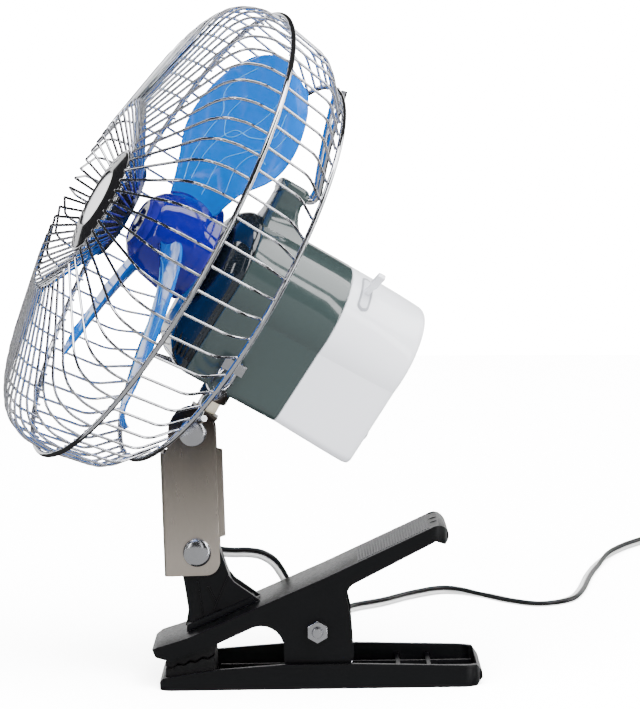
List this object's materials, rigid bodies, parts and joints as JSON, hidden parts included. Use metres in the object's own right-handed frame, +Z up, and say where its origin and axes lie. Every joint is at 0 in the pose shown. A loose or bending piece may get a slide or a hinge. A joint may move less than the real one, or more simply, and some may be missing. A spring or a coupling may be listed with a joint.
{
  "type": "clip-on oscillating fan",
  "caption": "Small clip-on fan with a chrome wire guard, blue blades, a tilting bracket, an oscillating head and a sprung clip.",
  "frame": {"origin": "on the floor, under the axis of the clip's pivot bolt, midway across the clip", "axes": "+Z up, +X along the clip towards its handles, the fan faces -X, +Y across the clip"},
  "size_m": [0.3795, 0.5381, 0.2741],
  "materials": {
    "clip_plastic": "moulded nylon with a fine grain",
    "pad_rubber": "matt moulded rubber",
    "bright_steel": "bright zinc plate",
    "bracket_steel": "nickel plated sheet, satin",
    "knuckle_steel": "dark plated steel",
    "nylon": "natural nylon",
    "housing_plastic": "polished grey-green moulding",
    "cover_plastic": "smooth white moulding",
    "can_steel": "zinc plated drawn steel",
    "magnet": "black ferrite and carbon",
    "bronze": "sintered bronze and copper",
    "hub_plastic": "deep blue translucent moulding",
    "blade_plastic": "azure translucent moulding",
    "guard_chrome": "bright chrome plate",
    "badge_chrome": "chrome plated pressing",
    "badge_face": "white domed face",
    "cord_vinyl": "twin vinyl, one side black and the other white",
    "plug_plastic": "black moulding",
    "plug_metal": "nickel plate"
  },
  "bodies": {
    "base": {"lower_jaw": "clip_plastic", "lower_pad": "pad_rubber", "pivot_bolt": "bright_steel", "pivot_nut": "bright_steel", "clip_spring": "bright_steel", "cord": "cord_vinyl", "cord_coil": "cord_vinyl", "cord_tail": "cord_vinyl", "plug_body": "plug_plastic", "plug_ring": "plug_metal", "plug_contacts": "plug_metal"},
    "plug_pin": {"plug_tip": "plug_metal"},
    "jaw": {"upper_jaw": "clip_plastic", "clip_post": "clip_plastic", "upper_pad": "pad_rubber", "spring_leg": "bright_steel"},
    "arm": {"post_rivet": "bright_steel", "bracket": "bracket_steel", "cord_gland": "pad_rubber"},
    "neck": {"tilt_knuckle": "knuckle_steel", "tilt_rivet": "bright_steel", "neck_sleeve": "nylon", "stop_plate": "knuckle_steel", "neck_nut": "bright_steel", "swing_arm": "bright_steel"},
    "head": {"motor_body": "housing_plastic", "front_bell": "housing_plastic", "rear_cover": "cover_plastic", "gear_plate": "bright_steel", "gear_screws": "bright_steel", "motor_can": "can_steel", "motor_endcap": "cover_plastic", "switch_spindle": "cover_plastic", "field_magnets": "magnet", "motor_bearings": "bronze", "brushes": "magnet", "housing_screws": "bright_steel", "guard_front": "guard_chrome", "guard_rim": "guard_chrome", "guard_rear": "guard_chrome", "rear_hoop": "guard_chrome", "stay_arm": "housing_plastic", "top_stay": "guard_chrome", "lower_stays": "guard_chrome", "stay_clamp": "knuckle_steel", "badge_ring": "badge_chrome", "badge_disc": "badge_face", "badge_cup": "badge_chrome"},
    "crank": {"crank_wheel": "nylon"},
    "fan": {"fan_shaft": "bright_steel", "armature": "bronze", "hub": "hub_plastic", "hub_nut": "bright_steel", "blade_1": "blade_plastic", "blade_2": "blade_plastic", "blade_3": "blade_plastic"},
    "lever": {"speed_lever": "cover_plastic"}
  },
  "joints": [
    {"name": "clip_open", "type": "hinge", "parent": "base", "child": "jaw", "pos_m": [0, 0, 0.0231], "axis": [0, 1, 0], "range_deg": [0, 20], "stiffness_Nm_per_rad": 2, "springref_deg": -20.05},
    {"name": "arm_fold", "type": "hinge", "parent": "jaw", "child": "arm", "pos_m": [-0.0485, 0, 0.0534], "axis": [0, 1, 0], "range_deg": [-20, 8]},
    {"name": "head_tilt", "type": "hinge", "parent": "arm", "child": "neck", "pos_m": [-0.0495, 0, 0.10239], "axis": [0, 1, 0], "range_deg": [-35, 12]},
    {"name": "head_swing", "type": "hinge", "parent": "neck", "child": "head", "pos_m": [-0.0495, 0, 0.10239], "axis": [0.5131, 0, 0.8583], "range_deg": [-53.86, 26.14]},
    {"name": "fan_spin", "type": "hinge", "parent": "head", "child": "fan", "pos_m": [-0.01671, 0, 0.15724], "axis": [0.8333, 0.2396, -0.4982], "continuous": true},
    {"name": "crank_turn", "type": "hinge", "parent": "head", "child": "crank", "pos_m": [-0.02461, 0.00216, 0.127], "axis": [0.5131, 0, 0.8583], "continuous": true},
    {"name": "speed_switch", "type": "hinge", "parent": "head", "child": "lever", "pos_m": [0.00779, 0.00704, 0.14259], "axis": [0.8333, 0.2396, -0.4982], "range_deg": [-14, 14]},
    {"name": "plug_press", "type": "slide", "parent": "base", "child": "plug_pin", "axis": [0, 1, 0], "range_m": [0, 0.003], "stiffness_N_per_m": 600, "springref_m": -0.001}
  ],
  "couplings": [
    {"joint": "crank_turn", "follows": "fan_spin", "ratio": 0.0041667}
  ]
}
